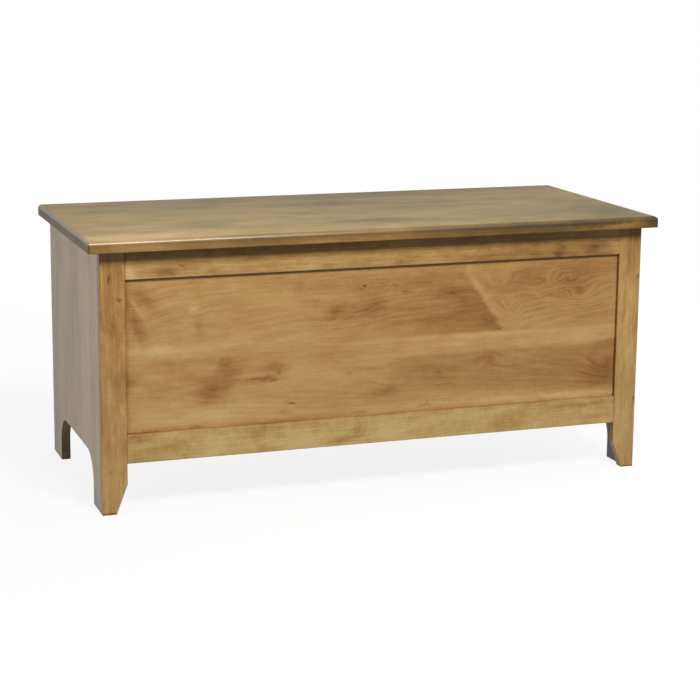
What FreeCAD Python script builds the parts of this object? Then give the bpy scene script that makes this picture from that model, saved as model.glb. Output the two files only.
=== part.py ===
"""Blanket chest: panelled case on bracket feet with a hinged slab lid, in millimetres.

+X runs along the chest, +Y towards the hinged back and +Z up. The origin is on the
floor, at the centre of the overall footprint. The lid is shut.
"""

import FreeCAD, Part
import math
import os

Vector = FreeCAD.Vector

# ---- driving dimensions: case -------------------------------------------------------
case_length = 1168.0
case_depth = 508.0
case_top = 525.5
board = 19.0              # thickness of the case timber
lid_length = 1219.0
lid_thickness = 24.0
lid_overhang_front = 25.5
lid_gap = 1.5             # held open by the bumpers
arris = 0.8               # small rounding of the case's visible edges

# ---- front frame --------------------------------------------------------------------
stile_width = 50.8
rail_underside = 101.6    # height of the case's underside above the floor
bottom_rail_height = 58.5
top_rail_height = 56.0
foot_taper_top = 60.0     # where the stile's inner edge starts to slope
foot_toe = 28.2           # width left of the stile at the floor
tenon_length = 25.0
tenon_shoulder = 6.0
groove_depth = 9.5
groove_width = 6.5
panel_thickness = 6.4
panel_recess = 6.3        # front of the frame to the front of its groove
panel_slack = 1.0         # room for the panel to move in its groove

# ---- end slabs ----------------------------------------------------------------------
slab_board_widths = [92.0, 104.0, 96.0, 108.0, 89.0]
front_foot = 84.0         # front to back, with the stile's thickness
back_foot = 86.0
arch_radius = 60.0
rabbet_depth = 9.5        # step in the slabs that takes the back frame

# ---- back frame ---------------------------------------------------------------------
back_stile_width = 60.0
back_rail_height = 75.0
back_panel_recess = 6.3

# ---- bottom -------------------------------------------------------------------------
cleat = 19.0              # square section
cleat_underside = 105.0
bottom_thickness = 12.7
bottom_slack = 0.5

# ---- lid ----------------------------------------------------------------------------
lid_board_widths = [101.0, 116.5, 98.0, 114.0, 104.0]
lid_round = 9.5           # round-over of the upper edges
lid_bottom_round = 1.5
lid_corner_round = 3.0    # seen from above
batten_width = 45.0
batten_thickness = 19.0
batten_length = 420.0
batten_x = 330.0
batten_round = 3.0

# ---- butt hinges --------------------------------------------------------------------
hinge_length = 76.0
hinge_places = {"left": -430.0, "middle": 0.0, "right": 430.0}
leaf_thickness = 2.0
leaf_on_wood = 17.0
leaf_screw_spread = 27.0  # middle screw to an outer one
knuckle_radius = 3.5
knuckle_stand_off = 0.5   # knuckle to the back of the case
knuckle_count = 5
knuckle_gap = 0.2
pin_radius = 1.6
pin_head_radius = 2.6
pin_head_length = 1.2
pin_fit_fixed = 0.02      # radial room in the knuckles that hold the pin
pin_fit_turning = 0.06    # radial room in the knuckles that turn on it

# ---- sliding lid stays --------------------------------------------------------------
lid_open_angle = 100.0
stay_reach = 150.0        # hinge axis to the lid pivot, and to the stud on the case
stay_pivot_drop = 13.0    # lid pivot below the hinge axis
stay_stud_angle = 40.0    # stud below the horizontal, seen from the hinge axis
stay_plate = 2.0
stay_bar_width = 14.0
stay_bar_from_wood = 3.0
stay_stud_radius = 3.0
stay_slot_play = 0.3
stay_head_radius = 5.5
stay_head_length = 1.8
stay_rivet_radius = 2.4
stay_rivet_fit = 0.05
stay_rivet_head_radius = 4.2
stay_rivet_head_length = 1.2
stay_side_play = 0.5
stay_bracket_length = 44.0
stay_bracket_width = 18.0
stay_bracket_corner = 4.0
stay_bracket_screw_spread = 14.0
stay_stud_plate_height = 52.0
stay_stud_plate_width = 20.0
stay_stud_plate_corner = 5.0
stay_stud_plate_screw_spread = 17.5

# ---- fasteners and small parts ------------------------------------------------------
screw_shank = 1.9
screw_head = 3.7
screw_head_depth = 1.9
screw_tip = 0.2
hinge_screw_case = 30.0   # lengths
hinge_screw_lid = 18.0
stay_screw_case = 15.0
stay_screw_lid = 16.0
cleat_screw = 30.0
batten_screw = 33.0
cleat_screw_columns = 6   # along the front and the back
cleat_screw_pitch = 203.0
cleat_screw_rows = 3      # along each end
cleat_screw_row_pitch = 150.0
batten_screw_from_end = 25.0
bumper_radius = 5.0
bumper_clearance = 0.05
biscuit_length = 56.0
biscuit_width = 23.0
biscuit_thickness = 4.0
biscuit_heights = [150.0, 255.0, 360.0, 465.0]

# ---- worked-out positions -----------------------------------------------------------
overall_depth = lid_overhang_front + case_depth + knuckle_stand_off + 2 * knuckle_radius
lid_front = -overall_depth / 2
case_front = lid_front + lid_overhang_front
case_back = case_front + case_depth
half_length = case_length / 2
inner_half = half_length - board
lid_underside = case_top + lid_gap
axis_y = case_back + knuckle_stand_off + knuckle_radius
axis_z = case_top + lid_gap / 2
frame_back = case_front + board
inside_back = case_back - board
stile_inner = half_length - stile_width
bottom_underside = cleat_underside + cleat


# ---- helpers ------------------------------------------------------------------------
def box(x0, x1, y0, y1, z0, z1):
    return Part.makeBox(x1 - x0, y1 - y0, z1 - z0, Vector(x0, y0, z0))


def rod_x(x0, x1, y, z, radius):
    return Part.makeCylinder(radius, x1 - x0, Vector(x0, y, z), Vector(1, 0, 0))


def prism_x(points, x0, x1):
    """Closed outline of (y, z) points, extruded from x0 to x1."""
    ring = [Vector(x0, y, z) for y, z in points + points[:1]]
    return Part.Face(Part.makePolygon(ring)).extrude(Vector(x1 - x0, 0, 0))


def fused(shapes):
    first, *rest = shapes
    return (first.fuse(rest) if rest else first).removeSplitter()


def rounded(shape, radius, wanted):
    """Rounds each edge whose bounding box passes wanted(box)."""
    edges = [edge for edge in shape.Edges if wanted(edge.BoundBox)]
    return shape.makeFillet(radius, edges)


def near(a, b):
    return abs(a - b) < 0.01


def in_plane(low, high, value):
    return near(low, value) and near(high, value)


def screw(head, direction, length):
    """Countersunk screw: head is the centre of its flat top, direction is into the wood."""
    cone = Part.makeCone(screw_head, screw_shank, screw_head_depth, head, direction)
    shank = Part.makeCylinder(screw_shank, length - screw_shank, head, direction)
    point_start = head + direction * (length - screw_shank)
    point = Part.makeCone(screw_shank, screw_tip, screw_shank, point_start, direction)
    return fused([cone, shank, point])


nodes = {}


def keep(name, *solids):
    nodes[name] = list(solids)


# ---- framed panels: front and back --------------------------------------------------
def plate_xz(points, y0, y1):
    """Closed outline of (x, z) points, extruded from y0 to y1."""
    ring = [Vector(x, y0, z) for x, z in points + points[:1]]
    return Part.Face(Part.makePolygon(ring)).extrude(Vector(0, y1 - y0, 0))


def framed_panel(outline, half_width, stile, rail_heights, y0, recess, show_face):
    """Two stiles, two rails and a flat panel in a plate of the given outline.

    The plate stands between y0 and y0 + board. show_face is the y of the face whose
    edges are eased, and recess is from y0 to the panel's groove.
    """
    y1 = y0 + board
    inner = half_width - stile
    bottom_rail, top_rail = rail_heights
    rail_top = rail_underside + bottom_rail
    rail_under = case_top - top_rail
    opening = box(-inner, inner, y0, y1, rail_top, rail_under)
    blank = rounded(plate_xz(outline, y0, y1).cut(opening), arris,
                    lambda b: in_plane(b.YMin, b.YMax, show_face)
                    and b.ZMax > arris and b.ZMin < case_top - arris)

    groove_y = (y0 + recess, y0 + recess + groove_width)
    groove = box(-inner - groove_depth, inner + groove_depth, *groove_y,
                 rail_top - groove_depth, rail_under + groove_depth)
    tenon_z = {"bottom_rail": (rail_underside + tenon_shoulder, rail_top - groove_depth),
               "top_rail": (rail_under + groove_depth, case_top - tenon_shoulder)}
    tenons = {name: box(-inner - tenon_length, inner + tenon_length, *groove_y, *z)
              for name, z in tenon_z.items()}
    made = {}
    for side, name in ((-1, "left"), (1, "right")):
        columns = sorted((side * inner, side * half_width))
        stile_blank = blank.common(box(*columns, y0, y1, 0, case_top))
        made["stile_" + name] = stile_blank.cut([groove, *tenons.values()])
    for name, z in (("bottom_rail", (rail_underside, rail_top)),
                    ("top_rail", (rail_under, case_top))):
        rail = blank.common(box(-inner, inner, y0, y1, *z))
        made[name] = fused([rail, tenons[name]]).cut(groove)

    reach = groove_depth - panel_slack
    play = (groove_width - panel_thickness) / 2
    made["panel"] = box(-inner - reach, inner + reach, groove_y[0] + play, groove_y[1] - play,
                        rail_top - reach, rail_under + reach)
    return made


def front_frame():
    """The stiles run down to the floor as feet with a sloping inner edge."""
    right_half = [(stile_inner, rail_underside), (stile_inner, foot_taper_top),
                  (half_length - foot_toe, 0.0), (half_length, 0.0),
                  (half_length, case_top)]
    outline = right_half + [(-x, z) for x, z in reversed(right_half)]
    return framed_panel(outline, half_length, stile_width,
                        (bottom_rail_height, top_rail_height),
                        case_front, panel_recess, case_front)


def back_frame():
    """Set into the rabbets of the end slabs."""
    half = inner_half + rabbet_depth
    outline = [(half, rail_underside), (half, case_top),
               (-half, case_top), (-half, rail_underside)]
    return framed_panel(outline, half, back_stile_width,
                        (back_rail_height, back_rail_height),
                        inside_back, back_panel_recess, case_back)


# ---- end slabs ----------------------------------------------------------------------
def arch_cutter():
    """The shape sawn out of a slab to leave its two feet."""
    front, back = case_front + front_foot, case_back - back_foot
    spring = rail_underside - arch_radius
    below = -arch_radius
    corner = arch_radius * (1 - math.sqrt(0.5))

    def at(y, z):
        return Vector(-case_length, y, z)

    front_arc = Part.Arc(at(front, spring),
                         at(front + corner, rail_underside - corner),
                         at(front + arch_radius, rail_underside))
    back_arc = Part.Arc(at(back - arch_radius, rail_underside),
                        at(back - corner, rail_underside - corner),
                        at(back, spring))
    edges = [Part.makeLine(at(front, below), at(front, spring)),
             front_arc.toShape(),
             Part.makeLine(at(front + arch_radius, rail_underside),
                           at(back - arch_radius, rail_underside)),
             back_arc.toShape(),
             Part.makeLine(at(back, spring), at(back, below)),
             Part.makeLine(at(back, below), at(front, below))]
    return Part.Face(Part.Wire(edges)).extrude(Vector(2 * case_length, 0, 0))


def parted(slab, widths, start):
    """Cuts a slab along its glue lines into boards, front board first."""
    size = slab.BoundBox
    boards, y = [], start
    for width in widths:
        boards.append(slab.common(box(size.XMin, size.XMax, y, y + width,
                                      size.ZMin, size.ZMax)))
        y += width
    return boards


def slab_boards(side):
    """One end of the case, glued up from upright boards."""
    outer, inner = side * half_length, side * inner_half
    slab = box(*sorted((outer, inner)), frame_back, case_back, 0, case_top)
    rabbet = box(*sorted((inner, inner + side * rabbet_depth)), inside_back, case_back,
                 rail_underside, case_top)
    slab = slab.cut([arch_cutter(), rabbet])
    slab = rounded(slab, arris, lambda b: in_plane(b.XMin, b.XMax, outer)
                   and in_plane(b.YMin, b.YMax, case_back))
    return parted(slab, slab_board_widths, frame_back)


# ---- lid ----------------------------------------------------------------------------
def lid_boards():
    """The lid slab, moulded on its edges and glued up from boards."""
    top = lid_underside + lid_thickness
    half = lid_length / 2
    blank = box(-half, half, lid_front, case_back, lid_underside, top)
    slab = rounded(blank, lid_round, lambda b: in_plane(b.ZMin, b.ZMax, top))
    slab = rounded(slab, lid_bottom_round,
                   lambda b: in_plane(b.ZMin, b.ZMax, lid_underside)
                   and not in_plane(b.YMin, b.YMax, case_back))
    upright = rounded(blank, lid_corner_round, lambda b: near(b.ZLength, lid_thickness))
    return parted(slab.common(upright), lid_board_widths, lid_front)


def battens():
    middle = (frame_back + inside_back) / 2
    underside = lid_underside - batten_thickness
    made = []
    for x in (-batten_x, batten_x):
        blank = box(x - batten_width / 2, x + batten_width / 2,
                    middle - batten_length / 2, middle + batten_length / 2,
                    underside, lid_underside)
        made.append(rounded(blank, batten_round,
                            lambda b: in_plane(b.ZMin, b.ZMax, underside)))
    return made


# ---- hinges -------------------------------------------------------------------------
def hinge_leaf(x, on_lid):
    """A leaf with its share of the knuckles. The case leaf has the outer ones."""
    start = x - hinge_length / 2
    pitch = hinge_length / knuckle_count
    if on_lid:
        z0, bore = lid_underside, pin_radius + pin_fit_turning
    else:
        z0, bore = case_top - leaf_thickness, pin_radius + pin_fit_fixed
    pieces = [box(start, start + hinge_length, case_back - leaf_on_wood,
                  axis_y - knuckle_radius - 2 * knuckle_gap, z0, z0 + leaf_thickness)]
    for i in range(knuckle_count):
        if (i % 2 == 1) != on_lid:
            continue
        x0 = start + i * pitch + knuckle_gap / 2
        x1 = start + (i + 1) * pitch - knuckle_gap / 2
        pieces.append(rod_x(x0, x1, axis_y, axis_z, knuckle_radius))
        pieces.append(box(x0, x1, case_back - leaf_on_wood, axis_y, z0, z0 + leaf_thickness))
    bore_rod = rod_x(start, start + hinge_length, axis_y, axis_z, bore)
    return fused(pieces).cut(bore_rod)


def hinge_pin(x):
    half = hinge_length / 2
    pieces = [rod_x(x - half, x + half, axis_y, axis_z, pin_radius)]
    for end in (x - half - pin_head_length, x + half):
        pieces.append(rod_x(end, end + pin_head_length, axis_y, axis_z, pin_head_radius))
    return fused(pieces)


def hinge_mortise(x, on_lid):
    z0 = lid_underside if on_lid else case_top - leaf_thickness
    return box(x - hinge_length / 2, x + hinge_length / 2, case_back - leaf_on_wood,
               case_back, z0, z0 + leaf_thickness)


def hinge_screws(x, on_lid):
    row = case_back - leaf_on_wood / 2
    z, way, length = ((lid_underside, 1, hinge_screw_lid) if on_lid
                      else (case_top, -1, hinge_screw_case))
    return [screw(Vector(x + offset, row, z), Vector(0, 0, way), length)
            for offset in (-leaf_screw_spread, 0.0, leaf_screw_spread)]


# ---- lid stays ----------------------------------------------------------------------
# The lid pivot and the stud are equally far from the hinge axis. The slotted bar from
# one to the other then turns by exactly half the lid's angle, and the stud runs in the
# slot. The end of the slot stops the lid when it is open.
pivot_back = math.sqrt(stay_reach ** 2 - stay_pivot_drop ** 2)
lid_pivot = (axis_y - pivot_back, axis_z - stay_pivot_drop)
stud = (axis_y - stay_reach * math.cos(math.radians(stay_stud_angle)),
        axis_z - stay_reach * math.sin(math.radians(stay_stud_angle)))
between_shut = math.radians(stay_stud_angle) - math.atan2(stay_pivot_drop, pivot_back)
between_open = between_shut + math.radians(lid_open_angle)
stud_distance_shut = 2 * stay_reach * math.sin(between_shut / 2)
stud_distance_open = 2 * stay_reach * math.sin(between_open / 2)
stay_tilt = math.degrees(math.atan2(stud[1] - lid_pivot[1], stud[0] - lid_pivot[0]))
ear_from_wood = stay_bar_from_wood + stay_plate + stay_side_play


def span_x(side, near_wood, thickness):
    """X range of a flat part, by its distance from the slab's inner face."""
    return sorted((side * (inner_half - near_wood),
                   side * (inner_half - near_wood - thickness)))


def obround(x0, x1, length, width, start=0.0):
    """Round-ended bar along +Y from y = start, about y = z = 0."""
    half = width / 2
    return fused([rod_x(x0, x1, start, 0, half), rod_x(x0, x1, start + length, 0, half),
                  box(x0, x1, start, start + length, -half, half)])


def stay_bar(side):
    across = span_x(side, stay_bar_from_wood, stay_plate)
    bar = obround(*across, stud_distance_open + stay_bar_width / 4, stay_bar_width)
    slot = obround(*across, stud_distance_open - stud_distance_shut,
                   2 * (stay_stud_radius + stay_slot_play), stud_distance_shut)
    hole = rod_x(*across, 0, 0, stay_rivet_radius + stay_rivet_fit)
    bar = bar.cut([slot, hole])
    bar.rotate(Vector(0, 0, 0), Vector(1, 0, 0), stay_tilt)
    bar.translate(Vector(0, *lid_pivot))
    return bar


def stay_lid_bracket(side):
    """Angle under the lid: a foot screwed to the lid and an ear that carries the pivot."""
    y, z = lid_pivot
    ear_x = span_x(side, ear_from_wood, stay_plate)
    foot_x = span_x(side, ear_from_wood, stay_bracket_width)
    half_foot = stay_bracket_length / 2
    foot = box(*foot_x, y - half_foot, y + half_foot, lid_underside - stay_plate,
               lid_underside)
    free_side = side * (inner_half - ear_from_wood - stay_bracket_width)
    foot = rounded(foot, stay_bracket_corner,
                   lambda b: near(b.ZLength, stay_plate)
                   and in_plane(b.XMin, b.XMax, free_side))
    half = stay_bar_width / 2
    web = [(y - half, z), (y + half, z), (y + stay_bar_width, lid_underside - stay_plate),
           (y - stay_bar_width, lid_underside - stay_plate)]
    ear = fused([rod_x(*ear_x, y, z, half), prism_x(web, *ear_x)])
    return fused([foot, ear]).cut(rod_x(*ear_x, y, z, stay_rivet_radius))


def stay_rivet(side):
    """Tight in the lid bracket's ear. The bar turns on it."""
    bar_head = stay_bar_from_wood - stay_side_play / 2 - stay_rivet_head_length
    ear_head = ear_from_wood + stay_plate
    shank = ear_head - bar_head
    return fused([
        rod_x(*span_x(side, bar_head, shank), *lid_pivot, stay_rivet_radius),
        rod_x(*span_x(side, bar_head, stay_rivet_head_length), *lid_pivot,
              stay_rivet_head_radius),
        rod_x(*span_x(side, ear_head, stay_rivet_head_length), *lid_pivot,
              stay_rivet_head_radius)])


def stay_stud_plate(side):
    half_h, half_w = stay_stud_plate_height / 2, stay_stud_plate_width / 2
    across = span_x(side, 0.0, stay_plate)
    plate = box(*across, stud[0] - half_w, stud[0] + half_w, stud[1] - half_h,
                stud[1] + half_h)
    plate = rounded(plate, stay_stud_plate_corner, lambda b: near(b.XLength, stay_plate))
    return plate.cut(rod_x(*across, *stud, stay_stud_radius))


def stay_stud(side):
    """Tight in the stud plate. Its head keeps the bar from slipping off."""
    shoulder = stay_bar_from_wood + stay_plate + stay_side_play / 2
    return fused([
        rod_x(*span_x(side, 0.0, shoulder), *stud, stay_stud_radius),
        rod_x(*span_x(side, shoulder, stay_head_length), *stud, stay_head_radius)])


def stay_case_screws(side):
    face = side * (inner_half - stay_plate)
    return [screw(Vector(face, stud[0], stud[1] + dz), Vector(side, 0, 0), stay_screw_case)
            for dz in (-stay_stud_plate_screw_spread, stay_stud_plate_screw_spread)]


def stay_lid_screws(side):
    ear_side = ear_from_wood + stay_plate
    foot_end = ear_from_wood + stay_bracket_width
    x = side * (inner_half - (ear_side + foot_end) / 2)
    return [screw(Vector(x, lid_pivot[0] + dy, lid_underside - stay_plate),
                  Vector(0, 0, 1), stay_screw_lid)
            for dy in (-stay_bracket_screw_spread, stay_bracket_screw_spread)]


# ---- bottom, bumpers, biscuits ------------------------------------------------------
def bottom_cleats():
    z0, z1 = cleat_underside, bottom_underside
    return {
        "front": box(-inner_half, inner_half, frame_back, frame_back + cleat, z0, z1),
        "back": box(-inner_half, inner_half, inside_back - cleat, inside_back, z0, z1),
        "left": box(-inner_half, -inner_half + cleat, frame_back + cleat,
                    inside_back - cleat, z0, z1),
        "right": box(inner_half - cleat, inner_half, frame_back + cleat,
                     inside_back - cleat, z0, z1)}


def cleat_screws():
    z = cleat_underside + cleat / 2
    middle = (frame_back + inside_back) / 2
    made = []
    for i in range(cleat_screw_columns):
        x = (i - (cleat_screw_columns - 1) / 2) * cleat_screw_pitch
        made.append(screw(Vector(x, frame_back + cleat, z), Vector(0, -1, 0), cleat_screw))
        made.append(screw(Vector(x, inside_back - cleat, z), Vector(0, 1, 0), cleat_screw))
    for side in (-1, 1):
        for i in range(cleat_screw_rows):
            y = middle + (i - (cleat_screw_rows - 1) / 2) * cleat_screw_row_pitch
            made.append(screw(Vector(side * (inner_half - cleat), y, z),
                              Vector(side, 0, 0), cleat_screw))
    return made


def batten_screws():
    """Two in each lid board, one through each batten."""
    middle = (frame_back + inside_back) / 2
    reach = batten_length / 2 - batten_screw_from_end
    made, start = [], lid_front
    for width in lid_board_widths:
        y = min(max(start + width / 2, middle - reach), middle + reach)
        for x in (-batten_x, batten_x):
            made.append(screw(Vector(x, y, lid_underside - batten_thickness),
                              Vector(0, 0, 1), batten_screw))
        start += width
    return made


def bumpers():
    places = [(sx * (half_length - board / 2), y) for sx in (-1, 1)
              for y in (case_front + board / 2, (case_front + case_back) / 2)]
    return [Part.makeCylinder(bumper_radius, lid_gap - bumper_clearance,
                              Vector(x, y, case_top)) for x, y in places]


def biscuits():
    """Lens-shaped slips across the joint between each front stile and its end slab."""
    made = []
    for side in (-1, 1):
        x = side * (half_length - board / 2) - biscuit_thickness / 2
        for z in biscuit_heights:
            tips = [Vector(x, frame_back, z - biscuit_length / 2),
                    Vector(x, frame_back, z + biscuit_length / 2)]
            arcs = [Part.Arc(tips[0], Vector(x, frame_back + way * biscuit_width / 2, z),
                             tips[1]).toShape() for way in (-1, 1)]
            face = Part.Face(Part.Wire(arcs))
            made.append(face.extrude(Vector(biscuit_thickness, 0, 0)))
    return made


# ---- assembly -----------------------------------------------------------------------
def assemble():
    slips = biscuits()
    fixings = {
        "cleat_screws": cleat_screws(),
        "batten_screws": batten_screws(),
        "hinge_screws_case": [s for x in hinge_places.values() for s in hinge_screws(x, False)],
        "hinge_screws_lid": [s for x in hinge_places.values() for s in hinge_screws(x, True)],
        "stay_screws_case": [s for side in (-1, 1) for s in stay_case_screws(side)],
        "stay_screws_lid": [s for side in (-1, 1) for s in stay_lid_screws(side)]}

    front = front_frame()
    for name in ("stile_left", "stile_right"):
        keep("front_" + name, front[name].cut(slips))
    keep("front_bottom_rail", front["bottom_rail"].cut(fixings["cleat_screws"]))
    keep("front_top_rail", front["top_rail"])
    keep("front_panel", front["panel"])

    back = back_frame()
    keep("back_stile_left", back["stile_left"])
    keep("back_stile_right", back["stile_right"])
    keep("back_bottom_rail", back["bottom_rail"].cut(fixings["cleat_screws"]))
    mortises = [hinge_mortise(x, False) for x in hinge_places.values()]
    keep("back_top_rail", back["top_rail"].cut(mortises + fixings["hinge_screws_case"]))
    keep("back_panel", back["panel"])

    for side, name in ((-1, "left"), (1, "right")):
        for i, piece in enumerate(slab_boards(side), start=1):
            tools = slips + fixings["cleat_screws"] + fixings["stay_screws_case"]
            keep(f"{name}_end_board_{i}", piece.cut(tools))

    keep("bottom_panel", box(-inner_half + bottom_slack, inner_half - bottom_slack,
                             frame_back + bottom_slack, inside_back - bottom_slack,
                             bottom_underside, bottom_underside + bottom_thickness))
    for name, piece in bottom_cleats().items():
        keep("bottom_cleat_" + name, piece.cut(fixings["cleat_screws"]))

    lid_tools = ([hinge_mortise(x, True) for x in hinge_places.values()]
                 + fixings["hinge_screws_lid"] + fixings["batten_screws"]
                 + fixings["stay_screws_lid"])
    for i, piece in enumerate(lid_boards(), start=1):
        keep(f"lid_board_{i}", piece.cut(lid_tools))
    for piece, name in zip(battens(), ("left", "right")):
        keep("lid_batten_" + name, piece.cut(fixings["batten_screws"]))

    for name, x in hinge_places.items():
        keep(f"hinge_{name}_case_leaf", hinge_leaf(x, False).cut(fixings["hinge_screws_case"]))
        keep(f"hinge_{name}_lid_leaf", hinge_leaf(x, True).cut(fixings["hinge_screws_lid"]))
    keep("hinge_pins", *[hinge_pin(x) for x in hinge_places.values()])

    for side, name in ((-1, "left"), (1, "right")):
        keep(f"stay_{name}_bar", stay_bar(side))
        keep(f"stay_{name}_lid_bracket",
             stay_lid_bracket(side).cut(fixings["stay_screws_lid"]))
        keep(f"stay_{name}_stud_plate",
             stay_stud_plate(side).cut(fixings["stay_screws_case"]))
    keep("stay_rivets", *[stay_rivet(side) for side in (-1, 1)])
    keep("stay_studs", *[stay_stud(side) for side in (-1, 1)])

    for name, solids in fixings.items():
        keep(name, *solids)
    keep("lid_bumpers", *bumpers())
    keep("corner_biscuits", *slips)


def write_parts():
    os.makedirs("parts", exist_ok=True)
    for name, solids in nodes.items():
        shape = solids[0] if len(solids) == 1 else Part.makeCompound(solids)
        for solid in shape.Solids:
            if not solid.isValid():
                print("not valid:", name)
        shape.exportStep(f"parts/{name}.step")
    print(len(nodes), "nodes written")
    print("stud distance shut and open:", round(stud_distance_shut, 2),
          round(stud_distance_open, 2))
    print("hinge axis y, z:", axis_y, axis_z, "lid pivot:", lid_pivot, "stud:", stud)


assemble()
write_parts()
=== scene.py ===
import math

import bpy
from mathutils import Matrix, Vector


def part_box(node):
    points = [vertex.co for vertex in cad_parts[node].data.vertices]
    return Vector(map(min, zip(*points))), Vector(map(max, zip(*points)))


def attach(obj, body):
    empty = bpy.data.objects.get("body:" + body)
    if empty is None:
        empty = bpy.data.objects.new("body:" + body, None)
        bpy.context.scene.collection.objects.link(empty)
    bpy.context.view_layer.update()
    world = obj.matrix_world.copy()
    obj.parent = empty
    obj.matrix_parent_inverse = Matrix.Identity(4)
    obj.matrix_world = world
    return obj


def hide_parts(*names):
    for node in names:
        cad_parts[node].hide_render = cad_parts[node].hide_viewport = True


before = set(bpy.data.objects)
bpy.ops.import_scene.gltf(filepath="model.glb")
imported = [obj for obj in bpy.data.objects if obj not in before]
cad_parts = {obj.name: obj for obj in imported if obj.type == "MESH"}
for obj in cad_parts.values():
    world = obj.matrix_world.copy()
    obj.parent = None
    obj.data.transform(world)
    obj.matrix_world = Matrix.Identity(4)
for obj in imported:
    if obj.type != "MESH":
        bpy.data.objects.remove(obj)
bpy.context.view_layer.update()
metre = 1000.0                      # in millimetres, which all the finishes are written in
seedShift = (3.17, 1.91, 2.63)      # where a seed of one moves a noise pattern to
print("frame loaded,", len(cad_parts), "nodes")


class Signal:                       # one output socket, so that shader maths reads as sums

    def __init__(self, graph, socket):
        self.graph = graph
        self.socket = socket

    def __add__(self, other):
        return self.graph.maths("ADD", self, other)

    def __radd__(self, other):
        return self.graph.maths("ADD", other, self)

    def __sub__(self, other):
        return self.graph.maths("SUBTRACT", self, other)

    def __rsub__(self, other):
        return self.graph.maths("SUBTRACT", other, self)

    def __mul__(self, other):
        return self.graph.maths("MULTIPLY", self, other)

    def __rmul__(self, other):
        return self.graph.maths("MULTIPLY", other, self)

    def __truediv__(self, other):
        return self.graph.maths("DIVIDE", self, other)

    def __rtruediv__(self, other):
        return self.graph.maths("DIVIDE", other, self)

    def __pow__(self, other):
        return self.graph.maths("POWER", self, other)

    def __rpow__(self, other):
        return self.graph.maths("POWER", other, self)


class Graph:                        # a shader or geometry tree being built

    def __init__(self, tree):
        self.tree = tree
        tree.nodes.clear()

    def node(self, kind, settings=None, inputs=None, output=0):
        made = self.tree.nodes.new(kind)
        for name, value in (settings or {}).items():
            if name == "stops":
                self.setStops(made.color_ramp, value)
            else:
                setattr(made, name, value)
        for name, value in (inputs or {}).items():
            self.feed(made.inputs[name], value)
        return Signal(self, made.outputs[output]) if len(made.outputs) else made

    def feed(self, socket, value):
        if isinstance(value, Signal):
            self.tree.links.new(value.socket, socket)
        else:
            socket.default_value = value

    def setStops(self, ramp, stops):
        while len(ramp.elements) < len(stops):
            ramp.elements.new(1.0)
        for element, (position, colour) in zip(ramp.elements, stops):
            element.position = position
            element.color = colour

    def maths(self, operation, first, second=0.0):
        return self.node("ShaderNodeMath", {"operation": operation}, {0: first, 1: second})

    def smooth(self, value, low, high, start=0.0, end=1.0):
        return self.node("ShaderNodeMapRange", {"interpolation_type": "SMOOTHSTEP"},
                         {"Value": value, "From Min": low, "From Max": high,
                          "To Min": start, "To Max": end})

    def mix(self, factor, first, second, blend="MIX"):
        return self.node("ShaderNodeMix", {"data_type": "RGBA", "blend_type": blend},
                         {0: factor, 6: first, 7: second}, output=2)

    def ramp(self, value, stops):
        return self.node("ShaderNodeValToRGB", {"stops": stops}, {0: value})

    def vector(self, x, y, z):
        return self.node("ShaderNodeCombineXYZ", None, {0: x, 1: y, 2: z})

    def part(self, vector, axis):
        return self.node("ShaderNodeSeparateXYZ", None, {0: vector}, output="xyz".index(axis))

    def place(self):
        # the point on the chest, in millimetres
        return self.node("ShaderNodeVectorMath", {"operation": "SCALE"}, {
            0: self.node("ShaderNodeTexCoord", output="Object"), "Scale": metre})

    def noise(self, place, size, seed, detail=2.0, rough=0.5):
        # size is how long a feature is along each axis; the value is centred on nought
        moved = self.node("ShaderNodeMapping", None, {
            "Vector": place, "Scale": tuple(1.0 / s for s in size),
            "Location": tuple(seed * shift for shift in seedShift)})
        return self.node("ShaderNodeTexNoise", {"noise_dimensions": "3D"}, {
            "Vector": moved, "Scale": 1.0, "Detail": detail, "Roughness": rough}) - 0.5

    def spot(self, place, at, size, turn=(0.0, 0.0, 0.0)):
        # a soft oval: one at its middle, a third at its size, nought far away
        local = self.node("ShaderNodeMapping", {"vector_type": "TEXTURE"}, {
            "Vector": place, "Location": at, "Scale": size,
            "Rotation": tuple(math.radians(a) for a in turn)})
        square = self.node("ShaderNodeVectorMath", {"operation": "DOT_PRODUCT"},
                           {0: local, 1: local}, output="Value")
        return self.maths("EXPONENT", square * -1.0)


def tint(red, green, blue):
    # screen colour, 0 to 255, as the linear colour that the shaders use
    linear = [((c / 255 + 0.055) / 1.055) ** 2.4 if c > 10 else c / 255 / 12.92
              for c in (red, green, blue)]
    return (*linear, 1.0)


def newObject(name, data):
    made = bpy.data.objects.new(name, data)
    bpy.context.scene.collection.objects.link(made)
    return made


def newMaterial(name):
    material = bpy.data.materials.new(name)
    material.use_nodes = True
    return material, Graph(material.node_tree)


def finishMaterial(graph, inputs, height, bump):
    # the closing nodes that every finish shares
    inputs["Normal"] = graph.node("ShaderNodeBump", None, {
        "Height": height, "Strength": bump["strength"], "Distance": bump["depth"]})
    shader = graph.node("ShaderNodeBsdfPrincipled", None, inputs)
    graph.node("ShaderNodeOutputMaterial", None, {"Surface": shader})


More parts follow.
